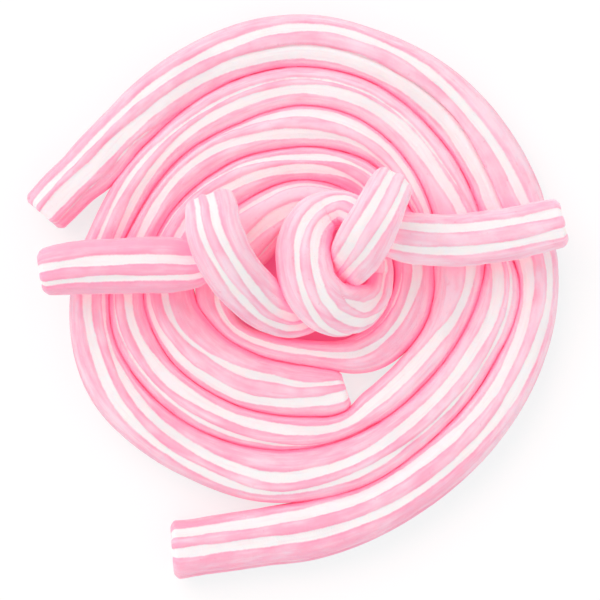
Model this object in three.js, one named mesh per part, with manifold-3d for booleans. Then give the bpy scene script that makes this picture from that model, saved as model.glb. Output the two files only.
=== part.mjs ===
// Marshmallow rope: soft extruded ropes with pink lobes and white grooves.
// Three ropes lie coiled flat on the table, and a fourth is tied in a loose overhand knot on top.
// Millimetres and degrees. X runs right and Y up in the plan, and Z is up from the table.
// Bearings turn clockwise from +Y about the middle of the coil.
import * as THREE from 'three';
import { mergeVertices } from 'three/addons/utils/BufferGeometryUtils.js';
import Module from 'manifold-3d';

const wasm = await Module();
wasm.setup();

// One rope's section: a soft rounded oblong with six raised pink strands between six white
// grooves. The top and bottom strands are the narrow ones. A groove has two banks and two floor corners.
const GROOVES = [-159, -90, -21, 21, 90, 159];
const BANK = 13;
const FLOOR = 6;
const GROOVE_CORNERS = [-BANK, -FLOOR, FLOOR, BANK];
const GROOVE_DEPTH = 0.9;
const CREASED_GROOVE = 2;
const ROUNDNESS = 2.7;
const FREE_WIDTH = 19.5;
const SIDES = GROOVES.length * GROOVE_CORNERS.length;

// A squeezed rope turns less of its skin upwards and a flattened one more, within these shares
const LEAST_FACING_UP = 0.6;
const MOST_FACING_UP = 1.1;

// How the ropes lie on the table
const COIL_HEIGHT = 19;
const SQUEEZE = 0.02;
const SAG = 1;
const WIDEST_SPREAD = 9;
const CONTACT_GAP = 0.45;
const CUT_ROUNDING = [[0, 0.8], [0.8, 0.93], [2.4, 1]];
const BEARING_STEP = 0.4;
const WELD = 1e-5;

// The crevice between the coil's turns, as bearing and radius, from the rim inwards.
// The second rope fills it from one turn to the next, and then the inner rope does.
const CREVICE = [
  [84, 76], [87, 79.5], [90, 81.5], [120, 82], [150, 84.5], [165, 89], [180, 92.5], [192, 95.2],
  [210, 97], [225, 100], [240, 102.3], [255, 99.5], [270, 94.5], [281, 89.5], [293, 86],
  [307, 82.6], [340, 81], [360, 80.4], [375, 78.5], [390, 75.4], [405, 72.8], [420, 71], [435, 70.5],
  [450, 69], [480, 65], [495, 64.5], [510, 66], [540, 71.5], [570, 77.5], [600, 82.6], [612, 83.4],
  [625, 80.8], [645, 73.5], [675, 67.8], [690, 65.2], [720, 65], [735, 63.2], [750, 60], [765, 56.6],
  [780, 54], [795, 51.5], [808, 49], [820, 50.2], [835, 51], [855, 50.8], [870, 52.5], [878, 54.5],
  [883, 57.2], [887, 58.6], [892, 59.4], [900, 59.2], [930, 62.5], [960, 67.5], [975, 68.5], [990, 66.3],
  [1005, 62.2], [1035, 54.5], [1065, 49.5], [1080, 48.6], [1110, 48.2], [1140, 46.5], [1168, 48.8],
  [1180, 50.1], [1195, 50.9], [1210, 50.3], [1225, 48.5], [1236, 45.5], [1243, 43], [1260, 39.2],
  [1275, 38.8], [1290, 40.4], [1320, 45.5], [1335, 47.8], [1350, 47], [1365, 44], [1395, 38],
  [1440, 35.4], [1470, 33.8], [1500, 30.5], [1528, 33.5], [1560, 33], [1590, 31.5], [1605, 30.2],
  [1620, 29], [1635, 29.3], [1650, 31], [1680, 35.5], [1694, 32.5], [1706, 26], [1718, 19.8],
  [1732, 16], [1745, 15], [1760, 15.2], [1800, 16.8], [1840, 17.5],
];

// The outer rope's two edges: free at both tails, and against the second rope between them
const RIM = [
  [281.4, 120.5], [285, 117], [290, 112.2], [295, 108.4], [300, 105.6], [306, 103.5], [315, 102.5],
  [330, 101.8], [350, 102], [360, 101.3], [375, 98.8], [390, 97.8], [420, 96.6], [432, 97],
  [450, 98.6], [480, 100.6], [495, 102.2], [510, 105.2], [525, 110], [540, 116.5], [550, 121],
  [560, 130.5], [566.2, 139.2],
];
const RIM_INSIDE = [
  [281.4, 98.3], [285, 94.2], [290, 89.5], [293, 86.6], [307, 82.6], [340, 81], [360, 80.4],
  [375, 78.5], [390, 75.4], [405, 72.8], [420, 71], [435, 71.5], [440, 74.5], [444, 78], [447, 80.8],
  [450, 82], [480, 82], [510, 84.5], [525, 89], [540, 92.5], [550, 97], [560, 104.8],
  [566.2, 112],
];

// The knotted rope from its left end to its right end: x, y, z, width and height
const KNOT = [
  [-106.8, -2.0, 27.6, 18.6, 17], [-98.3, -0.6, 28.2, 20.8, 17.4], [-85.9, 0.6, 28.7, 22, 17.6],
  [-70, 1.2, 28.8, 22.6, 17.8], [-55.4, 1.3, 28.8, 22.4, 17.4], [-45.7, 1.4, 28.6, 18.6, 15.5],
  [-39.2, 4.4, 28.4, 14.2, 14], [-36.8, 11.3, 28.8, 14.6, 13], [-39.2, 24, 38.2, 20.4, 12.6],
  [-38.2, 13.8, 48, 22.6, 14.6], [-35.2, 6, 47.2, 22.8, 16.4], [-30.5, -1.6, 42.4, 22.3, 17.2],
  [-24.5, -8.6, 35, 22, 17.4], [-16.7, -15.2, 26, 20.6, 17.2], [-8, -18.6, 16.4, 18.3, 17],
  [-0, -16.4, 10.4, 17.2, 17], [6, -10, 9, 16.8, 17], [10.2, -3.4, 12, 17.2, 16.5],
  [13.9, 0.7, 21.5, 18.3, 15.6], [16.7, 4.2, 33, 20.1, 15], [19.4, 8.6, 44, 21.5, 14.6],
  [22, 13.7, 51.8, 21.8, 14.4], [24.7, 19.1, 54.2, 20.6, 14.4], [27.5, 25, 51.2, 19.1, 14.4],
  [30.7, 31.6, 39.6, 17.7, 14.4], [28.4, 25.4, 28.4, 17.4, 14.2], [24.5, 18.5, 24, 16.7, 14.2],
  [23.2, 9.6, 17.4, 13.6, 14.6], [28.4, -0.8, 11, 9.8, 15.5], [25.4, -11.2, 13.5, 13, 16],
  [14.6, -16.4, 22.4, 21, 17], [5.8, -14.4, 30.6, 22.5, 17.4], [-0.5, -7.3, 34, 22.5, 17.4],
  [-3, 1.4, 34, 22.5, 17.4], [-3, 9.7, 33, 22.1, 17.4], [-0.1, 17.8, 31.2, 19.7, 17],
  [5.5, 23, 29.5, 16.2, 16.4], [12.5, 24.3, 31.5, 13, 15.4], [18.8, 21.3, 35.8, 13, 14],
  [24.6, 17.1, 38, 14.9, 13.4], [31.3, 13.4, 37.4, 18.5, 14.2], [38.9, 11.8, 34.4, 20.5, 15.6],
  [48.9, 11.1, 30.4, 20.9, 17], [62.4, 11.5, 28.7, 21.3, 17.6], [78.2, 13.6, 28.7, 21.3, 17.6],
  [92, 16.5, 28.6, 20.8, 17.4], [99.4, 18.3, 28.4, 19.8, 17],
];

// How far each rope's section is turned about its own middle line, clockwise from level, along it
const OUTER_TURN = [
  [281, 12], [298, 15], [319, 2.5], [340, -4], [361, 1], [389, -3], [425, -9], [448, 0], [466, 2],
  [480, -3], [508, -14], [525, -19], [550, -15], [567, -18],
];
const SECOND_TURN = [
  [86, 7], [116, 10], [140, 7], [164, 8], [188, 16], [200, 13], [224, -2], [248, -20], [262, -18],
  [281, -8], [296, -1], [344, 4.5], [392, 5.5], [416, 9], [436, 30], [450, 42], [464, 36],
  [476, 22], [500, 17], [540, 17], [560, 7], [572, 4], [596, 6], [610, 10], [644, 21], [692, 18],
  [716, 9], [740, 5], [776, -5], [794, -6],
];
const INNER_TURN = [
  [883, -5], [890, -4], [904, 6], [918, 8], [932, 15], [946, 17], [974, 30], [1044, 13], [1072, 1],
  [1100, 4], [1170, -15], [1184, -20], [1240, -22], [1476, -24],
];
const KNOT_TURN = [
  [0, -8.5], [6, -9], [8.5, -9.5], [9.3, -4], [10.4, -2], [11.4, -5], [13, -12], [15, -8],
  [18, 5], [20.3, 5], [21.5, 1], [22.3, -5], [23.2, -9.5], [24, -11], [26.5, -70], [28, -100],
  [29.4, -105], [29.9, -115], [30.4, -135], [30.8, -150], [31.1, -160], [31.5, -170],
  [32.1, -181], [33, -185], [34, -185], [40, -180], [46, -179],
];

// A crease along one white groove of the outer rope, and a low place of the inner rope under the knot
const OUTER_CREASE = [[281, 0], [335, 0], [350, 0.8], [390, 1.4], [428, 2], [436, 0], [567, 0]];
const INNER_PRESSED = [[883, 0], [1100, 0], [1125, 2.6], [1165, 2.8], [1198, 3.6], [1240, 0], [1476, 0]];

// The coil's ropes run between these bearings, and their lengths are along their middle lines
const OUTER = { from: 281.4, to: 566.2, rings: 40, length: 465 };
const SECOND = { from: 86, to: 794, rings: 72, length: 880 };
const INNER = { from: 884.6, to: 1476, rings: 52, length: 540 };

// Rings of the knotted rope for each of its rows, the rows where its stretches are joined, and
// how quickly its section comes level again after a steep place
const KNOT_RINGS = 2;
const KNOT_JOINS = [16, 24, 30];
const KNOT_STEP = 0.1;
const LEVELLING = 1.5;
const LEAST_LEVELLING = 0.1;

const PINK = { color: 0xf9c3d6, roughness: 0.75, metalness: 0 };

const { degToRad, clamp } = THREE.MathUtils;

// A smooth curve of value against position through a few measured places
function through(places) {
  const slopes = places.map(([at, value], i) => {
    const [a, b] = [places[Math.max(i - 1, 0)], places[Math.min(i + 1, places.length - 1)]];
    if (a[0] === at || b[0] === at) return (b[1] - a[1]) / (b[0] - a[0]);
    const [before, after] = [at - a[0], b[0] - at];
    return (((value - a[1]) / before) * after + ((b[1] - value) / after) * before) / (before + after);
  });
  return (x) => {
    let i = 0;
    while (i < places.length - 2 && x > places[i + 1][0]) i += 1;
    const [[at, value], [next, nextValue]] = [places[i], places[i + 1]];
    const span = next - at;
    const s = clamp((x - at) / span, 0, 1);
    return (1 + 2 * s) * (1 - s) ** 2 * value + s * (1 - s) ** 2 * span * slopes[i]
      + s * s * (3 - 2 * s) * nextValue + s * s * (s - 1) * span * slopes[i + 1];
  };
}

const crevice = through(CREVICE);
const nextTurn = (bearing) => crevice(bearing + 360);

// Across and up from the rope's middle line to one corner of its section
function sectionCorner(corner, place) {
  const groove = Math.floor(corner / GROOVE_CORNERS.length);
  const offset = GROOVE_CORNERS[corner % GROOVE_CORNERS.length];
  const turned = THREE.MathUtils.euclideanModulo(GROOVES[groove] + offset + place.turn + 180, 360) - 180;
  const facingUp = 90 * clamp(place.width / FREE_WIDTH, LEAST_FACING_UP, MOST_FACING_UP);
  const round = Math.abs(turned) <= facingUp
    ? turned * (90 / facingUp)
    : Math.sign(turned) * (90 + (Math.abs(turned) - facingUp) * (90 / (180 - facingUp)));
  const [s, c] = [Math.sin(degToRad(round)), Math.cos(degToRad(round))];
  const below = c < 0 ? place.sag : 0;
  const across = (place.width / 2) * Math.sign(s) * Math.abs(s) ** (2 / ROUNDNESS);
  const up = (place.height / 2 + below) * Math.sign(c) * Math.abs(c) ** (2 / ROUNDNESS);
  let depth = Math.abs(offset) === FLOOR ? GROOVE_DEPTH : 0;
  if (groove === CREASED_GROOVE && offset === FLOOR) depth += place.crease;
  const kept = (1 - depth / Math.hypot(across, up)) * place.size;
  return [across * kept, up * kept];
}

// Rings along a rope, close together at its cut ends, where they draw in to a rounded rim
function ropeRings(count, length) {
  const start = CUT_ROUNDING.map(([along, size]) => ({ u: along / length, size }));
  const end = start.map(({ u, size }) => ({ u: 1 - u, size })).reverse();
  const first = start.at(-1).u;
  const middle = Array.from({ length: count - 1 }, (_, i) => (
    { u: first + ((i + 1) / count) * (1 - 2 * first), size: 1 }));
  return [...start, ...middle, ...end];
}

// A unit cylinder's grid laid along the rope: each of its rings becomes one lobed section
function layRope(places) {
  const grid = new THREE.CylinderGeometry(1, 1, 1, SIDES, places.length - 1);
  const position = grid.attributes.position;
  const point = new THREE.Vector3();
  for (let i = 0; i < position.count; i += 1) {
    point.fromBufferAttribute(position, i);
    const place = places[Math.round((0.5 - point.y) * (places.length - 1))];
    const onAxis = Math.hypot(point.x, point.z) < 0.5;
    const corner = Math.round((Math.atan2(point.x, point.z) / (2 * Math.PI)) * SIDES + SIDES) % SIDES;
    const [across, up] = onAxis ? [0, 0] : sectionCorner(corner, place);
    point.copy(place.middle).addScaledVector(place.side, across).addScaledVector(place.up, up);
    position.setXYZ(i, point.x, point.y, Math.max(point.z, 0));
  }
  grid.deleteAttribute('normal');
  grid.deleteAttribute('uv');
  return mergeVertices(grid, WELD);
}

function onPlan(bearing, radius, z) {
  const angle = degToRad(bearing);
  return new THREE.Vector3(radius * Math.sin(angle), radius * Math.cos(angle), z);
}

// A rope of the coil: between two edges given by bearing, flat on the table
function coilRope({ from, to, rings, length }, { outside, inside, turn, pressed, crease }) {
  const middleOf = (bearing) => onPlan(bearing, (outside(bearing) + inside(bearing)) / 2, 0);
  return layRope(ropeRings(rings, length).map(({ u, size }) => {
    const bearing = from + (to - from) * u;
    const ahead = middleOf(Math.min(bearing + BEARING_STEP, to));
    const heading = ahead.sub(middleOf(Math.max(bearing - BEARING_STEP, from))).normalize();
    const side = new THREE.Vector3(-heading.y, heading.x, 0);
    const square = side.dot(onPlan(bearing, 1, 0));
    const width = (outside(bearing) - inside(bearing) - CONTACT_GAP) * square;
    const spread = Math.min(Math.abs(width - FREE_WIDTH), WIDEST_SPREAD);
    const height = COIL_HEIGHT - SQUEEZE * spread ** 2 - Math.max(pressed?.(bearing) ?? 0, 0);
    return {
      middle: middleOf(bearing).setZ(height / 2), side, up: new THREE.Vector3(0, 0, 1), width, height,
      sag: SAG, turn: turn(bearing), crease: Math.max(crease?.(bearing) ?? 0, 0), size,
    };
  }));
}

// The knotted rope's sections stay level across, also where it folds over itself
function knotPlaces() {
  const points = KNOT.map(([x, y, z]) => new THREE.Vector3(x, y, z));
  const route = new THREE.CatmullRomCurve3(points, false, 'centripetal');
  const turnAt = through(KNOT_TURN);
  const widthAt = through(KNOT.map((row, i) => [i, row[3]]));
  const heightAt = through(KNOT.map((row, i) => [i, row[4]]));
  const last = (KNOT.length - 1) * KNOT_RINGS;
  const step = KNOT_STEP / last;
  let side = new THREE.Vector3(0, 1, 0);
  return Array.from({ length: last + 1 }, (_, i) => {
    const u = i / last;
    const heading = route.getPoint(Math.min(u + step, 1)).sub(route.getPoint(Math.max(u - step, 0)));
    heading.normalize();
    const level = new THREE.Vector3(-heading.y, heading.x, 0);
    const flatness = level.length();
    if (level.dot(side) < 0) level.negate();
    side = side.clone().lerp(level.normalize(), clamp(flatness * LEVELLING, LEAST_LEVELLING, 1));
    side.addScaledVector(heading, -side.dot(heading)).normalize();
    return {
      middle: route.getPoint(u), heading, side, up: heading.clone().cross(side), sag: 0, crease: 0,
      turn: turnAt(i / KNOT_RINGS), width: widthAt(i / KNOT_RINGS), height: heightAt(i / KNOT_RINGS),
      size: 1,
    };
  });
}

// The last few millimetres at a cut end, inwards from its face
function cutEnd(place, inward) {
  return CUT_ROUNDING.map(([along, size]) => (
    { ...place, size, middle: place.middle.clone().addScaledVector(place.heading, along * inward) }));
}

function marshmallow(name, geometry) {
  const mesh = new THREE.Mesh(geometry, new THREE.MeshStandardMaterial(PINK));
  mesh.name = name;
  return mesh;
}

function outerRope() {
  return marshmallow('outer_rope', coilRope(OUTER, {
    outside: through(RIM),
    inside: through(RIM_INSIDE),
    turn: through(OUTER_TURN),
    crease: through(OUTER_CREASE),
  }));
}

function secondRope() {
  return marshmallow('second_rope', coilRope(SECOND, {
    outside: crevice,
    inside: nextTurn,
    turn: through(SECOND_TURN),
  }));
}

function innerRope() {
  return marshmallow('inner_rope', coilRope(INNER, {
    outside: crevice,
    inside: nextTurn,
    turn: through(INNER_TURN),
    pressed: through(INNER_PRESSED),
  }));
}

// The knotted rope touches itself inside the knot, and there its stretches hold together as one
function solidOf(geometry) {
  return new wasm.Manifold(new wasm.Mesh({
    numProp: 3,
    vertProperties: new Float32Array(geometry.attributes.position.array),
    triVerts: new Uint32Array(geometry.index.array),
  }));
}

function knotRope() {
  const places = knotPlaces();
  const first = cutEnd(places[0], 1);
  const last = cutEnd(places.at(-1), -1).reverse();
  const cuts = [0, ...KNOT_JOINS.map((row) => row * KNOT_RINGS), places.length - 1];
  const stretches = cuts.slice(1).map((to, i) => {
    const laid = places.slice(cuts[i], to + 1);
    if (i === 0) laid.splice(0, 1, ...first);
    if (i === KNOT_JOINS.length) laid.splice(-1, 1, ...last);
    return solidOf(layRope(laid));
  });
  const whole = stretches.reduce((sum, stretch) => sum.add(stretch));
  const [body] = whole.decompose().sort((a, b) => b.volume() - a.volume());
  const { numProp, vertProperties, triVerts } = body.getMesh();
  const geometry = new THREE.BufferGeometry();
  geometry.setAttribute('position', new THREE.BufferAttribute(vertProperties, numProp));
  geometry.setIndex(new THREE.BufferAttribute(triVerts, 1));
  return marshmallow('knot_rope', geometry);
}

const group = new THREE.Group();
group.add(outerRope(), secondRope(), innerRope(), knotRope());

// The origin is under the middle of the whole, on the table
const box = new THREE.Box3().setFromObject(group);
const middle = box.getCenter(new THREE.Vector3());
group.position.set(-middle.x, -middle.y, -box.min.z);

export default group;
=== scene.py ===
import bmesh
import bpy
import numpy as np
from mathutils.bvhtree import BVHTree
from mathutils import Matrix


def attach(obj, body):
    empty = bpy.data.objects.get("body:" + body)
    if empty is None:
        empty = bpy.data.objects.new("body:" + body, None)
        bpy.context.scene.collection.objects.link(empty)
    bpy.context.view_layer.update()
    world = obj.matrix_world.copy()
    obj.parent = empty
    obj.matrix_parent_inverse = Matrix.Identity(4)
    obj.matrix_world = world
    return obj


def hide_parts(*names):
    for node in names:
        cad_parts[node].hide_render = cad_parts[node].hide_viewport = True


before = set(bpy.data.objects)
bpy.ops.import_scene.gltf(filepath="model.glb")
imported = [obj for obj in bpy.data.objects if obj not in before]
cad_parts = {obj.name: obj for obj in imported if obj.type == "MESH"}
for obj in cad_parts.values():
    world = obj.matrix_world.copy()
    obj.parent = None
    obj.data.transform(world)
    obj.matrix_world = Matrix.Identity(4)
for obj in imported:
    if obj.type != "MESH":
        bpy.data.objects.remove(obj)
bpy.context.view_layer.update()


# The outer rope: warm marshmallow foam pushed through a shaped die, pink strands between white
# ones, then cut, dusted with starch and laid round the coil. It sags flat on the table, narrows
# where the knotted rope lies on it, and its two cut ends stand free.

# Sizes are in millimetres until the mesh is made
MM = 0.001
COIL_MIDDLE = np.array([5.965, 11.181, 0.0])

# The crevice between neighbouring turns of the coil, as it winds inwards, and the outer rope's own
# outside and inside edges. Each place has a bearing, in degrees clockwise round the coil's middle
# from its top and counted on from turn to turn, and a distance from the middle.
CREVICE = [
    [84, 76], [87, 79.5], [90, 81.5], [120, 82], [150, 84.5], [165, 89], [180, 92.5], [192, 95.2],
    [210, 97], [225, 100], [240, 102.3], [255, 99.5], [270, 94.5], [281, 89.5], [293, 86],
    [307, 82.6], [340, 81], [360, 80.4], [375, 78.5], [390, 75.4], [405, 72.8], [420, 71],
    [435, 70.5], [450, 69], [480, 65], [495, 64.5], [510, 66], [540, 71.5], [570, 77.5],
    [600, 82.6], [612, 83.4], [625, 80.8], [645, 73.5], [675, 67.8], [690, 65.2], [720, 65],
    [735, 63.2], [750, 60], [765, 56.6], [780, 54], [795, 51.5], [808, 49], [820, 50.2], [835, 51],
    [855, 50.8], [870, 52.5], [878, 54.5], [883, 57.2], [887, 58.6], [892, 59.4], [900, 59.2],
    [930, 62.5], [960, 67.5], [975, 68.5], [990, 66.3], [1005, 62.2], [1035, 54.5], [1065, 49.5],
    [1080, 48.6], [1110, 48.2], [1140, 46.5], [1168, 48.8], [1180, 50.1], [1195, 50.9],
    [1210, 50.3], [1225, 48.5], [1236, 45.5], [1243, 43], [1260, 39.2], [1275, 38.8], [1290, 40.4],
    [1320, 45.5], [1335, 47.8], [1350, 47], [1365, 44], [1395, 38], [1440, 35.4], [1470, 33.8],
    [1500, 30.5], [1528, 33.5], [1560, 33], [1590, 31.5], [1605, 30.2], [1620, 29], [1635, 29.3],
    [1650, 31], [1680, 35.5], [1694, 32.5], [1706, 26], [1718, 19.8], [1732, 16], [1745, 15],
    [1760, 15.2], [1800, 16.8], [1840, 17.5],
]
RIM = [
    [281.4, 120.5], [285, 117], [290, 112.2], [295, 108.4], [300, 105.6], [306, 103.5],
    [315, 102.5], [330, 101.8], [350, 102], [360, 101.3], [375, 98.8], [390, 97.8], [420, 96.6],
    [432, 97], [450, 98.6], [480, 100.6], [495, 102.2], [510, 105.2], [525, 110], [540, 116.5],
    [550, 121], [560, 130.5], [566.2, 139.2],
]
RIM_INSIDE = [
    [281.4, 98.3], [285, 94.2], [290, 89.5], [293, 86.6], [307, 82.6], [340, 81], [360, 80.4],
    [375, 78.5], [390, 75.4], [405, 72.8], [420, 71], [435, 71.5], [440, 74.5], [444, 78],
    [447, 80.8], [450, 82], [480, 82], [510, 84.5], [525, 89], [540, 92.5], [550, 97], [560, 104.8],
    [566.2, 112],
]


def through(places):
    """A smooth curve of value against position through a few measured places."""
    at, value = np.array(places, float).T
    gap = np.diff(at)
    rise = np.diff(value) / gap
    slope = np.empty(len(at))
    slope[0], slope[-1] = rise[0], rise[-1]
    slope[1:-1] = (rise[:-1] * gap[1:] + rise[1:] * gap[:-1]) / (gap[:-1] + gap[1:])

    def curve(x):
        x = np.asarray(x, float)
        i = np.clip(np.searchsorted(at, x) - 1, 0, len(at) - 2)
        s = np.clip((x - at[i]) / gap[i], 0, 1)
        ends = (1 + 2 * s) * (1 - s) ** 2 * value[i] + s * s * (3 - 2 * s) * value[i + 1]
        return ends + gap[i] * s * (1 - s) * ((1 - s) * slope[i] - s * slope[i + 1])

    return curve


# Unevenness of the dye's edges and of the skin, long and short: each its size and its longest wave
EDGE_WAVER = (0.2, 70)
EDGE_FRAY = (0.05, 14)
SKIN_SWELL = (0.16, 90)
SKIN_RIPPLE = (0.06, 18)
WAVES = 9


def wander(along, around, seed, size, longest):
    """Slow unevenness of about plus or minus size over a rope's skin, closed round its section."""
    draw = np.random.default_rng(seed)
    total = 0
    for _ in range(WAVES):
        wave, turns = longest * draw.uniform(0.2, 1), draw.integers(-3, 4)
        start = draw.uniform(0, 2 * np.pi)
        total = total + np.sin(2 * np.pi * along / wave + turns * around + start)
    return size * (total / WAVES ** 0.5)


# The section is a rounded square of this usual size, with its corners spaced evenly round it
ROUNDNESS = 2.7
USUAL_WIDTH = 21
USUAL_HEIGHT = 18
SIDES = 96
FINE_STEPS = 4001


def squared(part):
    """The sine or cosine of an angle, pushed out towards a rounded square."""
    return np.sign(part) * np.abs(part) ** (2 / ROUNDNESS)


def even_angles():
    """Angles round a rope's section, from its underside round, that are evenly spaced along its
    usual outline."""
    fine = np.linspace(-np.pi, np.pi, FINE_STEPS)
    x = USUAL_WIDTH / 2 * squared(np.sin(fine))
    y = USUAL_HEIGHT / 2 * squared(np.cos(fine))
    run = np.concatenate([[0], np.cumsum(np.hypot(np.diff(x), np.diff(y)))])
    return np.interp(np.linspace(0, run[-1], SIDES + 1), run, fine)


# Rings are evenly spaced, but they crowd together towards a cut, and more of them make its face
RING_SPACING = 1.0
CUT_LENGTH = 2.4
CUT_RINGS = 9
CUT_CROWDING = 1.6
CUT_FACE_RINGS = 9


def ring_places(length):
    """Places of a rope's rings along it: close together at both cut ends, then even."""
    start = CUT_LENGTH * np.linspace(0, 1, CUT_RINGS) ** CUT_CROWDING
    count = int(round((length - 2 * CUT_LENGTH) / RING_SPACING))
    middle = np.linspace(CUT_LENGTH, length - CUT_LENGTH, count + 1)
    return np.concatenate([start[:-1], middle, length - start[-2::-1]])


def with_cut_faces(values):
    """Repeats the first and last rings for the two cut faces."""
    start, end = (np.repeat(ring, CUT_FACE_RINGS, 0) for ring in (values[:1], values[-1:]))
    return np.concatenate([start, values, end])


# White strands fill the grooves between the pink ones. Each groove has its angle round the section,
# in degrees from the top towards the left of the way that the rope is laid, which is the outside of
# the coil. Where a rope's own table gives no half width, a white strand underneath has the usual
# one, and one at a side is pressed out of sight.
GROOVES = [-159, -90, -21, 21, 90, 159]
SIDE_GROOVE = 90
CREASED_GROOVE = -21
UNDERSIDE_WHITE = 2.1
PRESSED_WHITE = -0.4
FAR_FROM_WHITE = 9.0

# A squeezed rope shows less of its skin from above than a free one, and its strands lie further round
FREE_WIDTH = 19.5
LEAST_FACING_UP = 0.6
MOST_FACING_UP = 1.1


def strand_edges(lie, angle, run, whites, strays):
    """How far each corner is from the nearest edge of a white strand, below zero inside it, and how
    far it is past the edge of the creased one."""
    facing_up = 90 * np.clip(lie["width"][:, None] / FREE_WIDTH, LEAST_FACING_UP, MOST_FACING_UP)
    girth = run[:, -1:]
    edge = np.full(run.shape, FAR_FROM_WHITE)
    for groove in GROOVES:
        if abs(groove) == SIDE_GROOVE:
            usual = PRESSED_WHITE
            stray = through(strays.get(groove, [[0, 0], [1, 0]]))(lie["station"])
        else:
            usual = UNDERSIDE_WHITE
            stray = np.sign(groove * (SIDE_GROOVE - abs(groove))) * lie["spread"]
        turned = ((groove + stray + lie["turn"] + 180) % 360 - 180)[:, None]
        past = np.abs(turned) - facing_up
        at = np.where(past <= 0, turned * 90 / facing_up,
                      np.sign(turned) * (90 + past * 90 / (180 - facing_up)))
        centre = np.array([np.interp(np.radians(a), angle, r) for a, r in zip(at[:, 0], run)])
        away = (run - centre[:, None] + girth / 2) % girth - girth / 2
        half = through(whites.get(groove, [[0, usual], [1, usual]]))(lie["station"])[:, None]
        edge = np.minimum(edge, np.abs(away) - half)
        if groove == CREASED_GROOVE:
            past_crease = away - half
    return edge, past_crease


# How near to each other corners are welded, in metres
WELD = 1e-7


def rope_mesh(name, place, lay, marks):
    """A grid rolled up into a closed rope, with a place and marks for each of its corners."""
    form = bmesh.new()
    rings = len(place)
    bmesh.ops.create_grid(form, x_segments=SIDES, y_segments=rings - 1, size=0.5)
    layers = [(form.verts.layers.float.new(key), values) for key, values in marks.items()]
    lay_layer = form.verts.layers.float_vector.new("lay")
    for vertex in form.verts:
        ring = round((vertex.co.y + 0.5) * (rings - 1))
        corner = round((vertex.co.x + 0.5) * SIDES)
        vertex.co = place[ring, corner]
        for layer, values in layers:
            vertex[layer] = values[ring, corner]
        vertex[lay_layer] = lay[ring, corner]
    bmesh.ops.remove_doubles(form, verts=form.verts, dist=WELD)
    bmesh.ops.recalc_face_normals(form, faces=form.faces)
    for skin_face in form.faces:
        skin_face.smooth = True
    mesh = bpy.data.meshes.new(name)
    form.to_mesh(mesh)
    form.free()
    rope = bpy.data.objects.new(name, mesh)
    bpy.context.scene.collection.objects.link(rope)
    return rope


# The relief of the skin: the grooves and the rounded shoulders of the pink strands, a crease, and
# the flat places where ropes press on each other; and the painted shade that darkens the crease and
# the pressed sides
GROOVE_DEPTH = 0.85
STRAND_SHOULDER = 2.3
SHOULDER_START = 0.3
SKIN_DEPTH = 0.2
CREASE_WIDTH = 0.55
CREASE_SHADE = 0.7
CREASE_PAINTED_SHADE = 0.8
FLAT_FROM = 0.9
FLATTENING = 0.8
SEAM_FROM = 0.78
SEAM_BAND = 0.2

# The cut ends: how small they get and how sharply, how far the pink strands stand out of the cut
# face, and how full a strand is where it stands level
CUT_SIZE = 0.8
CUT_ROUNDING = 2.2
CUT_PROUD = 0.25
CUT_LEVEL = 0.4

# The radius of the plain rod that the skin's patterns are drawn on
PLAIN_ROD = 9


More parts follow.
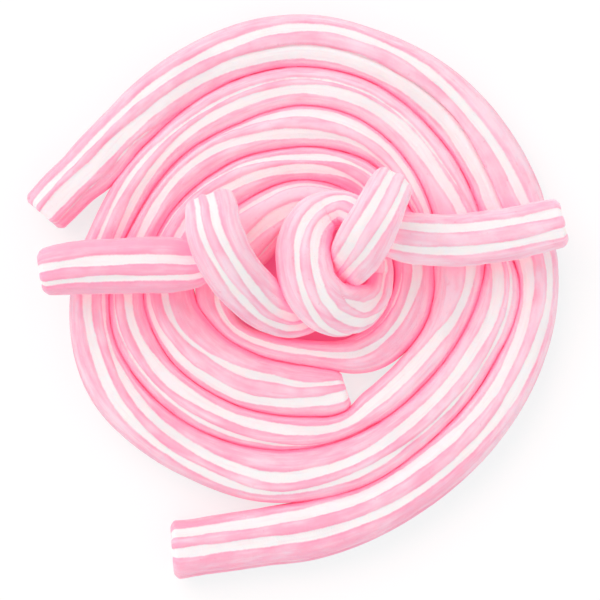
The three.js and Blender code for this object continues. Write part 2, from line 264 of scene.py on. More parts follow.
def lay_rope(name, lie, seed, whites, dye_and_painted_light, strays):
    """A closed rope. lie gives its rings' middles, directions and sizes, whites the half widths of
    its white strands, then a table of how much deeper than usual its pink is, which below zero makes
    it paler and on the inner rope's end under the knot is painted light, and strays how far a white
    strand at its side is from its usual angle."""
    angle = even_angles()
    along, width, height = lie["along"][:, None], lie["width"][:, None], lie["height"][:, None]
    s, c = np.sin(angle), np.cos(angle)
    across = width / 2 * squared(s)
    rise = (height / 2 + np.where(c < 0, lie["sag"], 0)) * squared(c)
    run = np.cumsum(np.hypot(np.diff(across, axis=1, prepend=across[:, :1]),
                             np.diff(rise, axis=1, prepend=rise[:, :1])), axis=1)

    # How deep the relief lies below the plain section, and how much painted shade darkens its seams and
    # its crease
    edge, past_crease = strand_edges(lie, angle, run, whites, strays)
    edge = edge + wander(along, angle, seed + 1, *EDGE_WAVER)
    edge = edge + wander(along, angle, seed + 2, *EDGE_FRAY)
    uneven = wander(along, angle, seed + 3, *SKIN_SWELL) + wander(along, angle, seed + 4, *SKIN_RIPPLE)
    lobe = 1 - (1 - np.clip((edge + SHOULDER_START) / STRAND_SHOULDER, 0, 1)) ** 2
    crease = lie["crease"][:, None]
    crease_line = np.exp(-(past_crease / CREASE_SHADE) ** 2) * np.clip(crease, 0, 1)
    pressed_flat = np.clip((np.abs(s) - FLAT_FROM) / (1 - FLAT_FROM), 0, 1) * lie["pressed_sides"]
    seam_shade = np.clip((np.abs(s) - SEAM_FROM) / SEAM_BAND, 0, 1) ** 2 * lie["pressed_sides"]
    seam_shade = np.clip(seam_shade + CREASE_PAINTED_SHADE * crease_line, 0, 1)
    depth = (GROOVE_DEPTH * (1 - lobe) + SKIN_DEPTH + uneven) * (1 - FLATTENING * pressed_flat)
    depth = depth + crease * np.exp(-(past_crease / CREASE_WIDTH) ** 2)

    # The cut ends draw in to a rounded rim, and the pink strands stand a little proud of the cut
    near_cut = np.clip(1 - np.minimum(along, along[-1] - along) / CUT_LENGTH, 0, 1)
    kept = (1 - depth / np.hypot(across, rise)) * (1 - (1 - CUT_SIZE) * near_cut ** CUT_ROUNDING)
    proud = CUT_PROUD * (lobe - CUT_LEVEL) * near_cut ** 2
    proud[: len(proud) // 2] *= -1
    opening = np.linspace(0, 1, CUT_FACE_RINGS, endpoint=False)
    inwards = np.concatenate([opening, np.ones(len(along)), opening[::-1]])[:, None]
    across, rise, proud = (with_cut_faces(reach) * inwards
                           for reach in (across * kept, rise * kept, proud))

    middle, side, up, ahead = (with_cut_faces(lie[key])[:, None] for key in
                               ("middle", "side", "up", "ahead"))
    place = middle + side * across[..., None] + up * rise[..., None] + ahead * proud[..., None]
    place = place + COIL_MIDDLE
    place[..., 2] = np.maximum(place[..., 2], 0)

    # How the skin's patterns lie: round a plain rod, and along it
    along = with_cut_faces(along + 0 * angle)
    rod = [PLAIN_ROD * np.cos(angle) + 0 * along, PLAIN_ROD * np.sin(angle) + 0 * along]
    lay = np.stack([*rod, along], axis=-1)
    deep = through(dye_and_painted_light)(lie["station"])[:, None] + 0 * seam_shade
    marks = {"edge": edge, "seam_shade": seam_shade, "deep": deep}
    return rope_mesh(name, place * MM, lay, {key: with_cut_faces(mark) for key, mark in marks.items()})


def on_plan(bearing, radius):
    """Places on the table at a bearing and a distance from the coil's middle."""
    angle = np.radians(bearing)
    return np.stack([radius * np.sin(angle), radius * np.cos(angle), 0 * angle], axis=-1)


def length_so_far(middle):
    """How far along a line each of its places is."""
    return np.concatenate([[0], np.cumsum(np.linalg.norm(np.diff(middle, axis=0), axis=1))])


# How high a rope of the coil stands at its free width, and how much lower where it is squeezed or
# spread. It would sag into the table, which flattens it. Neighbours press into each other, so the
# gap between them is below zero. Its direction is measured over this many degrees on each side.
COIL_HEIGHT = 19
SQUEEZE = 0.02
WIDEST_CHANGE = 9
SAG = 1
CONTACT_GAP = -0.62
LOOK_AHEAD = 0.4


def coil_lie(start, end, outside, inside, turn, spread, pressed=None, crease=None):
    """How a rope of the coil lies between two edges, from one bearing to another. By bearing, turn is
    how far its section is turned, spread how far its white strands move apart, pressed how far the
    knotted rope presses it down, and crease how deep its crease is."""
    def middle_of(bearing):
        return on_plan(bearing, (outside(bearing) + inside(bearing)) / 2)

    fine = np.linspace(start, end, FINE_STEPS)
    walked = length_so_far(middle_of(fine))
    along = ring_places(walked[-1])
    bearing = np.interp(along, walked, fine)
    before, after = np.maximum(bearing - LOOK_AHEAD, start), np.minimum(bearing + LOOK_AHEAD, end)
    ahead = middle_of(after) - middle_of(before)
    ahead /= np.linalg.norm(ahead, axis=1)[:, None]
    side = np.stack([-ahead[:, 1], ahead[:, 0], 0 * bearing], axis=-1)

    # A spiral crosses its radius at a slant, so the rope is narrower than it measures along it
    square = np.sum(side * on_plan(bearing, 1), axis=1)
    width = (outside(bearing) - inside(bearing) - CONTACT_GAP) * square
    from_free = np.minimum(np.abs(width - FREE_WIDTH), WIDEST_CHANGE)
    height = COIL_HEIGHT - SQUEEZE * from_free ** 2
    if pressed:
        height = height - np.maximum(through(pressed)(bearing), 0)
    middle = middle_of(bearing)
    middle[:, 2] = height / 2
    return {
        "along": along, "station": bearing, "middle": middle, "ahead": ahead, "side": side,
        "up": np.tile([0.0, 0.0, 1.0], (len(along), 1)), "width": width, "height": height, "sag": SAG,
        "turn": through(turn)(bearing), "spread": through(spread)(bearing), "pressed_sides": 1,
        "crease": np.maximum(through(crease)(bearing), 0) if crease else 0 * bearing,
    }


class Value:
    """A socket of the skin's nodes. Sums, differences and products of it add Math nodes."""

    def __init__(self, skin, socket):
        self.skin, self.socket = skin, socket

    def __add__(self, other):
        return self.skin.add("ShaderNodeMath", {"operation": "ADD"}, {0: self, 1: other})

    def __sub__(self, other):
        return self.skin.add("ShaderNodeMath", {"operation": "SUBTRACT"}, {0: self, 1: other})

    def __rsub__(self, other):
        return self.skin.add("ShaderNodeMath", {"operation": "SUBTRACT"}, {0: other, 1: self})

    def __mul__(self, other):
        return self.skin.add("ShaderNodeMath", {"operation": "MULTIPLY"}, {0: self, 1: other})

    __radd__ = __add__
    __rmul__ = __mul__


class Skin:
    """A material whose nodes are added one by one."""

    def __init__(self, name):
        self.material = bpy.data.materials.new(name)
        self.material.use_nodes = True
        self.tree = self.material.node_tree
        self.shader = self.tree.nodes["Principled BSDF"]

    def add(self, kind, settings, sockets, out=0):
        """Adds a node, sets its settings first, feeds its sockets and gives back one output."""
        node = self.tree.nodes.new(kind)
        for key, value in settings.items():
            setattr(node, key, value)
        self.feed(node, sockets)
        return Value(self, node.outputs[out])

    def feed(self, node, sockets):
        """Links values to a node's sockets, and sets plain numbers and colours on them."""
        for key, value in sockets.items():
            if isinstance(value, Value):
                self.tree.links.new(value.socket, node.inputs[key])
            else:
                node.inputs[key].default_value = value

    def noise(self, vector, scale, stretch, detail):
        """Noise that is drawn out where its stretch is small."""
        at = self.add("ShaderNodeMapping", {}, {"Vector": vector, "Scale": stretch})
        return self.add("ShaderNodeTexNoise", {}, {"Vector": at, "Scale": scale, "Detail": detail})

    def span(self, value, nothing, full):
        """A smooth step from 0 at one value to 1 at another."""
        return self.add("ShaderNodeMapRange", {"interpolation_type": "SMOOTHSTEP"},
                        {"Value": value, "From Min": nothing, "From Max": full})

    def blend(self, factor, first, second):
        """The first colour where the factor is 0, and the second where it is 1."""
        return self.add("ShaderNodeMix", {"data_type": "RGBA"}, {0: factor, 6: first, 7: second}, out=2)


# The skin's colours, the crimson of its painted shade, and a painted glow that stands in for the
# light that comes through the foam in narrow places
PALE_PINK = (0.960, 0.680, 0.765, 1)
MID_PINK = (0.950, 0.420, 0.565, 1)
DEEP_PINK = (0.920, 0.260, 0.430, 1)
PAINTED_SHADE_CRIMSON = (0.640, 0.045, 0.190, 1)
WHITE = (0.920, 0.865, 0.870, 1)
SHADED_WHITE = (0.800, 0.755, 0.770, 1)
BLUSH = (0.930, 0.740, 0.790, 1)
PAINTED_GLOW_THROUGH_FOAM = (0.34, 0.05, 0.10, 1)
PAINTED_GLOW_DEEP_IN_FOAM = (0.17, 0.00, 0.03, 1)
NO_GLOW = (0, 0, 0, 1)

skin = Skin("marshmallow_skin")
lay = skin.add("ShaderNodeAttribute", {"attribute_name": "lay"}, {}, out=1)
edge, seam_shade, deep, near_sky, far_sky = (
    skin.add("ShaderNodeAttribute", {"attribute_name": name}, {}, out=2)
    for name in ("edge", "seam_shade", "deep", "near_sky", "far_sky"))

# Unevenness of the dye and the skin: long streaks and threads, short clouds, wide patches and nicks
streaks = skin.noise(lay, 0.6, (1, 1, 0.06), 3.0)
clouds = skin.noise(lay, 0.32, (1, 1, 0.3), 4.0)
patches = skin.noise(lay, 0.1, (1, 1, 0.3), 2.0)
threads = skin.noise(lay, 1.5, (1, 1, 0.05), 2.0)
fray = skin.noise(lay, 0.8, (0.5, 0.5, 1), 2.0)
nicks = skin.span(skin.noise(lay, 1.0, (1, 1, 0.6), 2.0), 0.66, 0.74)
grain = skin.noise(lay, 2.2, (1, 1, 0.8), 3.0)
pores = skin.span(skin.noise(lay, 1.1, (1, 1, 1), 4.0), 0.62, 0.72)

# Pink strands vary in depth at random and by each rope's table. Painted shade makes them deeper
# beside the white ones and down between ropes, and crimson in the seams and crevices
ragged = edge + (fray - 0.5) * 0.4
pink_tone = streaks * 0.25 + clouds * 0.35 + patches * 0.25 + threads * 0.15 + deep * 0.22
depth_of_pink = skin.span(pink_tone, 0.37, 0.65)
pink = skin.blend(depth_of_pink, PALE_PINK, MID_PINK)
# Painted shade: deeper pink near the white strands, where the grooves are, broken up by the clouds; the
# nicks are deeper pink too
pink = skin.blend(skin.span(ragged, 1.6, 0.2) * clouds * 0.6 + nicks * 0.25, pink, DEEP_PINK)
# Painted shade: deeper pink where other ropes hide the far sky, under the loops and down between ropes
pink = skin.blend(skin.span(far_sky, 0.85, 0.25) * 0.6, pink, DEEP_PINK)
white = skin.blend(skin.span(threads, 0.5, 0.75) * 0.4, WHITE, BLUSH)
white = skin.blend(skin.span(patches, 0.5, 0.64) * 0.35, white, SHADED_WHITE)
whiteness = skin.span(ragged, 0.35, -0.3)
colour = skin.blend(whiteness, pink, white)
# Painted shade: crimson down the pressed sides, where neighbouring ropes meet, and along the crease
colour = skin.blend(seam_shade * 0.25, colour, PAINTED_SHADE_CRIMSON)
# Painted shade: crimson deep in the crevices, where other foam hides the near sky
colour = skin.blend(skin.span(near_sky, 0.36, 0.1) * 0.9, colour, PAINTED_SHADE_CRIMSON)

# A matte, starchy surface that lets light in
roughness = 0.56 + grain * 0.16
bump = skin.add("ShaderNodeBump", {}, {
    "Strength": 0.6, "Distance": 0.0005,
    "Height": grain * 0.5 + streaks * 0.9 + threads * 0.3 - pores * 0.3 - nicks * 0.6})
# Painted glow: emission stands in for light scattered through the foam, pink where the far sky is
# hidden, deep red in the narrowest crevices, and less on the white strands
painted_glow_share = skin.span(far_sky, 0.95, 0.25) * (1 - whiteness * 0.35)
glow = skin.blend(painted_glow_share, NO_GLOW, PAINTED_GLOW_THROUGH_FOAM)
glow = skin.blend(skin.span(near_sky, 0.35, 0.08), glow, PAINTED_GLOW_DEEP_IN_FOAM)
skin.feed(skin.shader, {
    "Base Color": colour, "Roughness": roughness, "Normal": bump,
    "Emission Color": glow, "Emission Strength": 1.0,
    "Subsurface Weight": 0.9, "Subsurface Radius": (1.0, 0.4, 0.45), "Subsurface Scale": 0.004,
    "Specular IOR Level": 0.3, "Sheen Weight": 0.15, "Sheen Roughness": 0.6,
})


def dress(rope, node):
    """The rope stands for its solid, rides on the one body and wears the skin."""
    rope.data.materials.append(skin.material)
    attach(rope, "root")
    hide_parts(node)


# How the outer rope's strands run, by bearing: the half width of the white one in each groove, the
# turn of the section and the spread of the white ones in degrees, how much deeper than usual the
# pink ones are dyed, the straying of a white one at the side, and the depth of the crease, which
# also sets how dark its painted shade is
OUTER_WHITES = {
    -90: [[281, 0.2], [310, 0.1], [325, -0.4], [566, -0.4]],
    -21: [[281, 3.1], [296, 3.0], [306, 2.4], [340, 2.5], [350, 2.9], [396, 3.1], [424, 2.9],
          [455, 2.7], [480, 2.0], [494, 2.1], [510, 2.8], [530, 2.7], [550, 2.3], [566, 1.8]],
    21: [[281, 1.6], [296, 1.1], [305, 1.1], [318, 1.5], [345, 1.9], [368, 1.6], [400, 1.9],
         [420, 2.0], [455, 1.7], [468, 1.9], [480, 2.3], [495, 1.6], [515, 1.6], [545, 2.1],
         [566, 2.1]],
}
OUTER_TURN = [[281, 12], [298, 15], [319, 2.5], [340, -4], [361, 1], [389, -3], [425, -9], [448, 0],
              [466, -3], [480, -3], [508, -14], [525, -19], [550, -15], [567, -18]]
OUTER_SPREAD = [[281, -5.5], [298, -3.5], [319, -3.5], [340, -1.5], [354, 4], [375, 6], [389, 3],
                [403, -1], [417, 2], [452, 3.5], [466, 1], [480, -3], [508, 4], [522, 5], [536, 2],
                [550, -1], [567, -1]]
OUTER_DYE = [[281, 0.2], [320, 0.1], [360, 0], [400, -0.1], [440, -0.25], [480, -0.1], [510, 0.2],
             [566, 0.25]]
OUTER_STRAYS = {-90: [[281, 38], [310, 34], [325, 0], [566, 0]]}
OUTER_CREASE = [[281, 0], [335, 0], [350, 0.8], [390, 1.4], [428, 2], [436, 0], [567, 0]]

outer_lie = coil_lie(281.4, 566.2, through(RIM), through(RIM_INSIDE), OUTER_TURN, OUTER_SPREAD,
                     crease=OUTER_CREASE)
outer = lay_rope("outer_marshmallow_rope", outer_lie, 11, OUTER_WHITES, OUTER_DYE, OUTER_STRAYS)
dress(outer, "outer_rope")


# The second rope: the same marshmallow, laid two turns round inside the outer rope and pressed
# against it and against itself. Both of its ends are under the knotted rope's right arm.
SECOND_WHITES = {
    -21: [[86, 2.6], [104, 2.6], [116, 2.1], [152, 2.1], [164, 1.8], [188, 2.4], [200, 1.9],
          [236, 1.9], [250, 0.8], [262, 1.2], [284, 1.7], [300, 1.5], [332, 1.9], [356, 2.0],
          [392, 2.6], [416, 2.3], [452, 2.1], [464, 1.8], [476, 2.3], [512, 2.3], [536, 1.8],
          [560, 2.4], [572, 2.0], [594, 2.8], [608, 1.9], [644, 1.6], [692, 1.7], [716, 2.1],
          [728, 1.5], [745, 0.8], [794, 0.8]],
    21: [[86, 0.8], [116, 0.6], [152, 0.7], [170, 1.4], [188, 0.7], [200, 1.6], [224, 1.7],
         [248, 2.3], [260, 1.9], [284, 1.0], [308, 0.8], [330, 0.5], [392, 0.4], [540, 0.4],
         [550, 0.9], [584, 0.8], [600, 0.5], [644, 0.5], [692, 0.8], [704, 1.8], [716, 2.3],
         [740, 2.3], [752, 2.0], [776, 1.6], [794, 1.4]],
}
SECOND_TURN = [[86, 7], [116, 10], [140, 7], [160, 8], [176, 14], [190, 19], [202, 14], [224, -2],
               [248, -20], [262, -18], [281, -8], [296, -1], [344, 4.5], [392, 5.5], [416, 9],
               [436, 30], [450, 42], [464, 33], [476, 22], [500, 17], [540, 17], [560, 7], [572, 4],
               [596, 6], [610, 10], [644, 21], [692, 18], [716, 9], [740, 5], [776, -5], [794, -6]]
SECOND_SPREAD = [[86, -8], [104, -8], [128, -4], [150, -7], [170, -6], [188, -3], [224, -4.5],
                 [248, -1], [281, -3], [296, -5.5], [308, -10], [356, -11], [380, -13], [410, -13],
                 [440, -4], [464, 0], [548, -2], [572, -4], [608, -6], [644, -1], [668, -4],
                 [704, 0], [716, 3], [740, -3], [794, -4]]
SECOND_DYE = [[86, -0.35], [120, -0.2], [180, 0.15], [260, 0.05], [300, 0], [360, -0.15],
              [420, -0.35], [460, -0.35], [500, -0.1], [540, 0.15], [640, 0], [720, -0.2],
              [794, -0.35]]

crevice = through(CREVICE)


def next_turn(bearing):
    """The crevice one turn further in."""
    return crevice(bearing + 360)


second_lie = coil_lie(86, 794, crevice, next_turn, SECOND_TURN, SECOND_SPREAD)
second = lay_rope("second_marshmallow_rope", second_lie, 23, SECOND_WHITES, SECOND_DYE, {})
dress(second, "second_rope")


# The inner rope: the same marshmallow, two more turns inside the second rope. One cut end shows
# by the small gap at the lower middle, and the other is under the knot.
INNER_WHITES = {
    -21: [[884, 0.7], [890, 0.8], [904, 1.1], [918, 1.8], [932, 1.7], [946, 1.0], [974, 1.3],
          [1044, 2.0], [1058, 2.0], [1086, 1.7], [1100, 1.0], [1184, 0.4], [1476, 0.6]],
    21: [[884, 2.1], [904, 2.2], [918, 1.9], [932, 2.2], [960, 2.2], [974, 1.6], [1044, 0.6],
         [1072, 1.4], [1086, 1.5], [1100, 0.7], [1184, 2.0], [1200, 1.3], [1240, 1.4],
         [1360, 1.5], [1385, 2.2], [1476, 2.2]],
    90: [[884, -0.4], [1350, -0.4], [1360, -0.4], [1385, 1.0], [1400, 1.0], [1476, 1.0]],
}
INNER_TURN = [[883, -5], [890, -4], [904, 6], [918, 8], [932, 15], [946, 17], [974, 30], [1044, 13],
              [1072, 1], [1100, 4], [1170, -15], [1184, -20], [1240, -22], [1476, -24]]
INNER_SPREAD = [[883, -8], [904, -3.5], [918, 2], [960, 2], [974, 5], [1044, -5], [1072, -10],
                [1100, -8], [1170, -3], [1476, 0]]
# Below zero the pink is paler: the inner rope's paler end under the knot is painted light, making up
# for the shade that the knot casts on it.
INNER_DYE_AND_PAINTED_LIGHT = [[884, 0.1], [1330, 0.1], [1340, 0.1], [1385, -0.8], [1400, -0.8], [1476, -0.8]]
INNER_STRAYS = {90: [[884, 0], [1350, 0], [1385, -14], [1400, -14], [1476, -14]]}
INNER_PRESSED = [[883, 0], [1100, 0], [1125, 2.6], [1165, 2.8], [1198, 3.6], [1240, 0], [1476, 0]]

inner_lie = coil_lie(884, 1476, crevice, next_turn, INNER_TURN, INNER_SPREAD, INNER_PRESSED)
inner = lay_rope("inner_marshmallow_rope", inner_lie, 37, INNER_WHITES, INNER_DYE_AND_PAINTED_LIGHT, INNER_STRAYS)
dress(inner, "inner_rope")


# The knotted rope: one more length of the same marshmallow, tied in a loose overhand knot and laid
# across the top of the coil, where nothing but its weight holds it.

# Each row is a place on its middle line, from its left cut end to its right one: x, y, z, width and
# height
KNOT = [
    [-106.8, -2.0, 27.6, 18.6, 17], [-98.3, -0.6, 28.2, 20.8, 17.4], [-85.9, 0.6, 28.7, 22, 17.6],
    [-70, 1.2, 28.8, 22.6, 17.8], [-55.4, 1.3, 28.8, 22.4, 17.4], [-45.7, 1.4, 28.6, 18.6, 15.5],
    [-39.2, 4.4, 28.4, 14.2, 14], [-36.8, 11.3, 28.8, 14.6, 13], [-39.2, 24, 38.2, 20.4, 12.6],
    [-38.2, 13.8, 48, 22.6, 14.6], [-35.2, 6, 47.2, 22.8, 16.4], [-30.5, -1.6, 42.4, 22.3, 17.2],
    [-24.5, -8.6, 35, 22, 17.4], [-16.7, -15.2, 26, 20.6, 17.2], [-8, -18.6, 16.4, 18.3, 17],
    [-0, -16.4, 10.4, 17.2, 17], [6, -10, 9, 16.8, 17], [10.2, -3.4, 12, 17.2, 16.5],
    [13.9, 0.7, 21.5, 18.3, 15.6], [16.7, 4.2, 33, 20.1, 15], [19.4, 8.6, 44, 21.5, 14.6],
    [22, 13.7, 51.8, 21.8, 14.4], [24.7, 19.1, 54.2, 20.6, 14.4], [27.5, 25, 51.2, 19.1, 14.4],
    [30.7, 31.6, 39.6, 17.7, 14.4], [28.4, 25.4, 28.4, 17.4, 14.2], [24.5, 18.5, 24, 16.7, 14.2],
    [23.2, 9.6, 17.4, 13.6, 14.6], [28.4, -0.8, 11, 9.8, 15.5], [25.4, -11.2, 13.5, 13, 16],
    [14.6, -16.4, 22.4, 21, 17], [5.8, -14.4, 30.6, 22.5, 17.4], [-0.5, -7.3, 34, 22.5, 17.4],
    [-3, 1.4, 34, 22.5, 17.4], [-3, 9.7, 33, 22.1, 17.4], [-0.1, 17.8, 31.2, 19.7, 17],
    [5.5, 23, 29.5, 16.2, 16.4], [12.5, 24.3, 31.5, 13, 15.4], [18.8, 21.3, 35.8, 13, 14],
    [24.6, 17.1, 38, 14.9, 13.4], [31.3, 13.4, 37.4, 18.5, 14.2], [38.9, 11.8, 34.4, 20.5, 15.6],
    [48.9, 11.1, 30.4, 20.9, 17], [62.4, 11.5, 28.7, 21.3, 17.6], [78.2, 13.6, 28.7, 21.3, 17.6],
    [92, 16.5, 28.6, 20.8, 17.4], [99.4, 18.3, 28.4, 19.8, 17],
]

# The turn of its section and the spread of its white strands, by row
KNOT_TURN = [[0, -8.5], [6, -9], [8.5, -9.5], [9.3, -4], [10.4, -2], [11.4, -5], [13, -12],
             [15, -8], [18, 5], [20.3, 5], [21.5, 1], [22.3, -5], [23.2, -9.5], [24, -11],
             [26.5, -70], [28, -100], [29.4, -105], [29.9, -115], [30.4, -135], [30.8, -150],
             [31.1, -160], [31.5, -170], [32.1, -181], [33, -185], [34, -185], [40, -180],
             [46, -179]]
KNOT_SPREAD = [[0, -5], [5, -5], [8, -8.5], [13, -9], [16, -6], [20, -9], [22, -4], [24, 0],
               [28.5, 6], [29.9, 8], [30.6, 6.5], [31.1, 0], [31.6, -5.5], [32, -5.5],
               [36, -5.5], [38, 0], [46, 0]]

# Steps to a row for carrying the section along, how quickly it comes level again after a steep
# place, and how far to each side the route's direction is taken, in rows
KNOT_STEPS = 2
LEVELLING = 1.5
LEAST_LEVELLING = 0.1
KNOT_LOOK_AHEAD = 0.05
KNOT_FINE_STEPS = 8001


def knot_route(u):
    """Places on the smooth line through the knot's rows, for u from 0 to the last row."""
    rows = np.array(KNOT, float)[:, :3]
    rows = np.vstack([2 * rows[0] - rows[1], rows, 2 * rows[-1] - rows[-2]])
    i = np.clip(np.floor(u).astype(int), 0, len(KNOT) - 2)
    w = (u - i)[:, None]
    a, b, c, d = rows[i], rows[i + 1], rows[i + 2], rows[i + 3]
    ab, bc, cd = (np.sqrt(np.linalg.norm(q - p, axis=1))[:, None]
                  for p, q in ((a, b), (b, c), (c, d)))
    leave = ((b - a) / ab - (c - a) / (ab + bc) + (c - b) / bc) * bc
    arrive = ((c - b) / bc - (d - b) / (bc + cd) + (d - c) / cd) * bc
    return (b + leave * w + (3 * (c - b) - 2 * leave - arrive) * w ** 2
            + (2 * (b - c) + leave + arrive) * w ** 3)


def ways_ahead(u):
    """The knotted rope's direction at each place, of length one."""
    before, after = np.maximum(u - KNOT_LOOK_AHEAD, 0), np.minimum(u + KNOT_LOOK_AHEAD, len(KNOT) - 1)
    ahead = knot_route(after) - knot_route(before)
    return ahead / np.linalg.norm(ahead, axis=1)[:, None]


def knot_lie():
    """How the knotted rope lies, with its section carried along its route and kept near level."""
    last = len(KNOT) - 1
    coarse = np.linspace(0, last, last * KNOT_STEPS + 1)
    sides, side = [], np.array([0.0, 1.0, 0.0])
    for way in ways_ahead(coarse):
        level = np.array([-way[1], way[0], 0])
        flatness = np.linalg.norm(level)
        level *= (-1 if level @ side < 0 else 1) / flatness
        share = np.clip(flatness * LEVELLING, LEAST_LEVELLING, 1)
        side = side * (1 - share) + level * share
        side = side - way * (side @ way)
        side /= np.linalg.norm(side)
        sides.append(side)
    fine = np.linspace(0, last, KNOT_FINE_STEPS)
    walked = length_so_far(knot_route(fine))
    along = ring_places(walked[-1])
    u = np.interp(along, walked, fine)
    ahead = ways_ahead(u)
    side = np.stack([np.interp(u, coarse, np.array(sides)[:, k]) for k in range(3)], axis=-1)
    side -= ahead * np.sum(side * ahead, axis=1)[:, None]
    side /= np.linalg.norm(side, axis=1)[:, None]
    width, height = (through(list(zip(range(last + 1), sizes)))(u) for sizes in np.array(KNOT).T[3:])
    return {
        "along": along, "station": u, "middle": knot_route(u), "ahead": ahead, "side": side,
        "up": np.cross(ahead, side), "width": width, "height": height, "sag": 0,
        "turn": through(KNOT_TURN)(u), "spread": through(KNOT_SPREAD)(u), "pressed_sides": 0,
        "crease": 0 * u,
    }


# The half width of its white strand in each groove, how far the one at its side strays, and how
# much deeper than usual its pink strands are dyed, by row
KNOT_WHITES = {
    -159: [[0, 2.1], [7, 2.1], [9, 1.8], [13, 1.8], [18, 2.2], [21, 2.1], [23, 1.8], [30, 1.4],
           [34, 1.4], [40, 1.8], [46, 1.8]],
    -21: [[0, 1.2], [46, 1.2]],
    21: [[0, 2.0], [46, 2.0]],
    90: [[0, -0.4], [27, -0.4], [27.8, 0.4], [28.8, 0.8], [29.4, 1.6], [29.8, 2.2], [30.3, 1.7],
         [30.9, 0.4], [31.4, -0.4], [46, -0.4]],
    159: [[0, 1.5], [8, 1.1], [9.3, 1.2], [12, 1.4], [14, 1.5], [18, 1.4], [24, 1.4], [28, 2.0],
          [30, 2.1], [32, 1.9], [34, 1.9], [37, 1.7], [46, 1.8]],
}
KNOT_STRAYS = {
    90: [[0, 0], [26, 0], [27.8, 14], [29.4, 17], [29.8, 24], [30.35, 32], [30.9, 35], [31.5, 20],
         [32.5, 0], [33, 0], [46, 0]],
}
KNOT_DYE = [[0, 0.4], [5, 0.45], [6.5, 0.1], [8, 0], [17, 0], [19, -0.1], [30, -0.15], [40, -0.15],
            [46, 0]]

knot = lay_rope("knotted_marshmallow_rope", knot_lie(), 53, KNOT_WHITES, KNOT_DYE, KNOT_STRAYS)
dress(knot, "knot_rope")


# Where the ropes press together or cross, they hide each other's sky. Each place on a rope keeps its
# shares of sky that are clear of near and of far foam, and these set its painted shade and a deep
# pink painted glow that stands in for light from inside the foam.

# Each ray of a fan is turned by the golden angle from the one before. Two ways across the way that
# the skin faces are worked out from a slanting one.
NEAR_FOAM = 12 * MM
FAR_FOAM = 35 * MM
CLEAR_OF_SKIN = 0.05 * MM
SKY_RAYS = 16
RAY_SPIN = 2.39996
SLANTING = (0.36, 0.48, 0.8)


def note_the_sky(ropes):
    """Sends a fan of rays out of each corner of the ropes' skin, and keeps how far they get."""
    piled = bmesh.new()
    for rope in ropes:
        piled.from_mesh(rope.data)
    pile = BVHTree.FromBMesh(piled)
    piled.free()
    ray = np.arange(SKY_RAYS)
    out, spin = np.sqrt((ray + 0.5) / SKY_RAYS)[:, None], (ray * RAY_SPIN)[:, None]
    for rope in ropes:
        mesh = rope.data
        place, facing = np.empty(3 * len(mesh.vertices)), np.empty(3 * len(mesh.vertices))
        mesh.vertices.foreach_get("co", place)
        mesh.vertices.foreach_get("normal", facing)
        place, facing = place.reshape(-1, 1, 3), facing.reshape(-1, 1, 3)
        across = np.cross(facing, SLANTING)
        across /= np.maximum(np.linalg.norm(across, axis=-1, keepdims=True), 1e-6)
        ways = (facing * np.sqrt(1 - out ** 2) + across * out * np.cos(spin)
                + np.cross(facing, across) * out * np.sin(spin))
        starts = (place + facing * CLEAR_OF_SKIN)[:, 0].tolist()
        clear = [[pile.ray_cast(start, way, FAR_FOAM)[3] or 1 for way in fan]
                 for start, fan in zip(starts, ways.tolist())]
        for key, reach in (("near_sky", NEAR_FOAM), ("far_sky", FAR_FOAM)):
            share = np.minimum(np.array(clear) / reach, 1).mean(axis=1)
            mesh.attributes.new(key, "FLOAT", "POINT").data.foreach_set("value", share)


note_the_sky([outer, second, inner, knot])


# The table is a plain white board which takes the ropes' pale shadow. Its soft light from below is a
# painted glow, cool against a warm base colour so that the shadow stays grey. Under the middle of the
# pile the board is painted deep pink and glows pink, standing in for light that came through the foam.
BOARD_WHITE = (0.65, 0.34, 0.36, 1)
BOARD_PAINTED_GLOW = (0.33, 0.64, 0.62, 1)
PILE_PAINTED_PINK = (0.80, 0.26, 0.40, 1)
PILE_PAINTED_GLOW = (0.25, 0.03, 0.08, 1)
PILE_EDGE = (34 * MM, 42 * MM)
BOARD_SIDE = 3000 * MM

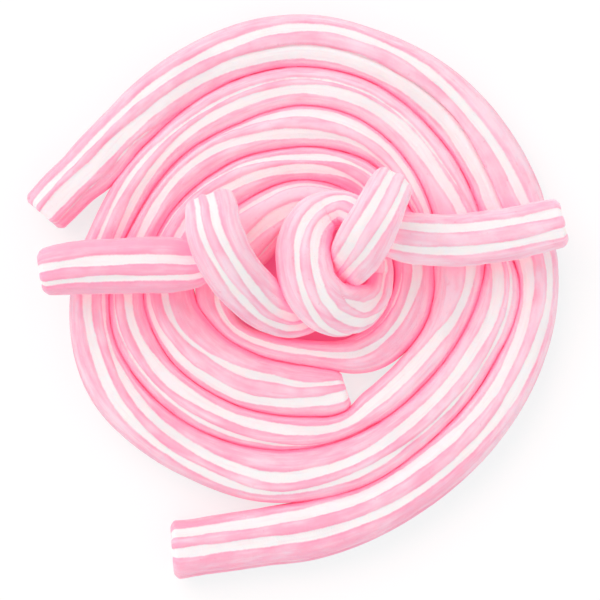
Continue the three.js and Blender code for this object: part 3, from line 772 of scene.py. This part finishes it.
board = bmesh.new()
bmesh.ops.create_grid(board, x_segments=1, y_segments=1, size=BOARD_SIDE / 2)
board_mesh = bpy.data.meshes.new("table_board")
board.to_mesh(board_mesh)
board.free()
table = bpy.data.objects.new("table_board", board_mesh)
bpy.context.scene.collection.objects.link(table)
paper = Skin("white_board")
spot = paper.add("ShaderNodeTexCoord", {}, {}, out=3)
from_middle = paper.add("ShaderNodeVectorMath", {"operation": "DISTANCE"},
                        {0: spot, 1: tuple(COIL_MIDDLE * MM)}, out=1)
clear_of_pile = paper.span(from_middle, *PILE_EDGE)
paper.feed(paper.shader, {
    "Base Color": paper.blend(clear_of_pile, PILE_PAINTED_PINK, BOARD_WHITE), "Roughness": 0.9,
    "Specular IOR Level": 0.1,
    "Emission Color": paper.blend(clear_of_pile, PILE_PAINTED_GLOW, BOARD_PAINTED_GLOW), "Emission Strength": 1.0,
})
table.data.materials.append(paper.material)


# Soft studio light: white all round, and a wide soft light from the upper left.
ROOM_LIGHT = 0.93
LAMP_LIGHT = 0.8
LAMP_WIDTH = np.radians(50)
LAMP_LEAN = np.radians(-32)

world = bpy.data.worlds.new("white_studio")
bpy.context.scene.world = world
world.use_nodes = True
world.node_tree.nodes["Background"].inputs["Color"].default_value = (1, 1, 1, 1)
world.node_tree.nodes["Background"].inputs["Strength"].default_value = ROOM_LIGHT
lamp = bpy.data.lights.new("wide_lamp", "SUN")
lamp.angle = LAMP_WIDTH
lamp.energy = LAMP_LIGHT
wide_lamp = bpy.data.objects.new("wide_lamp", lamp)
bpy.context.scene.collection.objects.link(wide_lamp)
wide_lamp.rotation_euler = (LAMP_LEAN, LAMP_LEAN, 0)


# The camera looks straight down. Halfway up the coil its picture is 240 mm wide, which makes a
# pixel 0.4 mm, and the picture's middle is a little off the part's own middle.
VIEW_HEIGHT = 1600
HALF_COIL = 10
PICTURE_WIDTH = 240
PICTURE_MIDDLE = (1.4, -1.4)

camera = bpy.data.cameras.new("camera")
camera.sensor_width = 36
camera.lens = camera.sensor_width * (VIEW_HEIGHT - HALF_COIL) / PICTURE_WIDTH
camera.clip_end = 10
view = bpy.data.objects.new("camera", camera)
bpy.context.scene.collection.objects.link(view)
view.location = (PICTURE_MIDDLE[0] * MM, PICTURE_MIDDLE[1] * MM, VIEW_HEIGHT * MM)
bpy.context.scene.camera = view
bpy.context.scene.view_settings.view_transform = "Standard"
